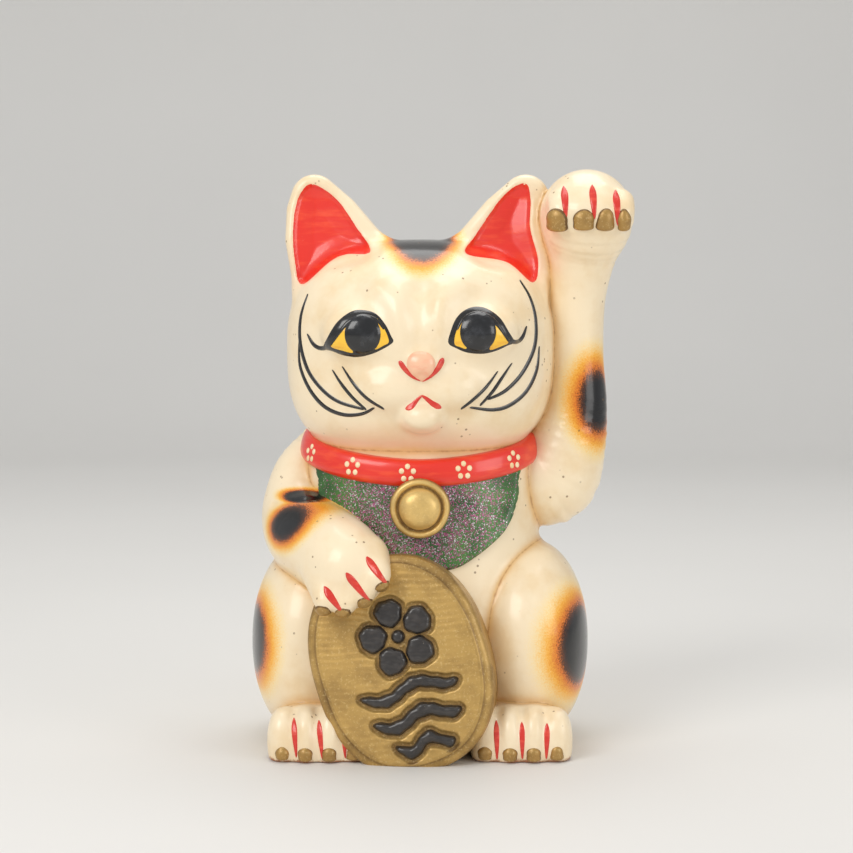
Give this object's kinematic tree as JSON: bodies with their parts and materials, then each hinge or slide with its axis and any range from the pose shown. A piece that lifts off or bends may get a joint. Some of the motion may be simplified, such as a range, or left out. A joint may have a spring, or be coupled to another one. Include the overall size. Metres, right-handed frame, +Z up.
{
  "type": "beckoning cat figurine",
  "caption": "Seated beckoning cat money bank with one paw raised and the other on an oval coin, with collar, bib, bell and a rubber stopper under its base.",
  "frame": {"origin": "middle of the base, on the surface that the figurine stands on", "axes": "+Z up, the cat faces -Y, its raised arm is on the +X side"},
  "size_m": [0.1923, 0.1521, 0.2917],
  "materials": {
    "cream_lacquer": "aged clear lacquer over pale cold paint",
    "claw_gold": "brushed gold paint",
    "coin_gold": "dull gold paint over hammered relief",
    "bell_gold": "gold paint, rubbed",
    "black_lacquer": "glossy black paint",
    "red_lacquer": "glossy vermilion paint",
    "glitter_green": "dark green with pink and silver glitter",
    "bare_clay": "unglazed fired clay",
    "grey_rubber": "moulded rubber"
  },
  "bodies": {
    "cat": {"torso_shell": "cream_lacquer", "head_shell": "cream_lacquer", "raised_arm": "cream_lacquer", "lowered_arm": "cream_lacquer", "left_haunch": "cream_lacquer", "right_haunch": "cream_lacquer", "left_foot": "cream_lacquer", "right_foot": "cream_lacquer", "tail": "cream_lacquer", "coin": "coin_gold", "coin_emblem": "black_lacquer", "collar": "red_lacquer", "bib": "glitter_green", "bell": "bell_gold", "bell_lug": "bare_clay", "raised_paw_claws": "claw_gold", "lowered_paw_claws": "claw_gold", "left_foot_claws": "claw_gold", "right_foot_claws": "claw_gold", "base_plate": "bare_clay"},
    "stopper": {"base_stopper": "grey_rubber"}
  },
  "joints": [
    {"name": "stopper_pull", "type": "slide", "parent": "cat", "child": "stopper", "axis": [0, 0, -1], "range_m": [0, 0.025]}
  ]
}
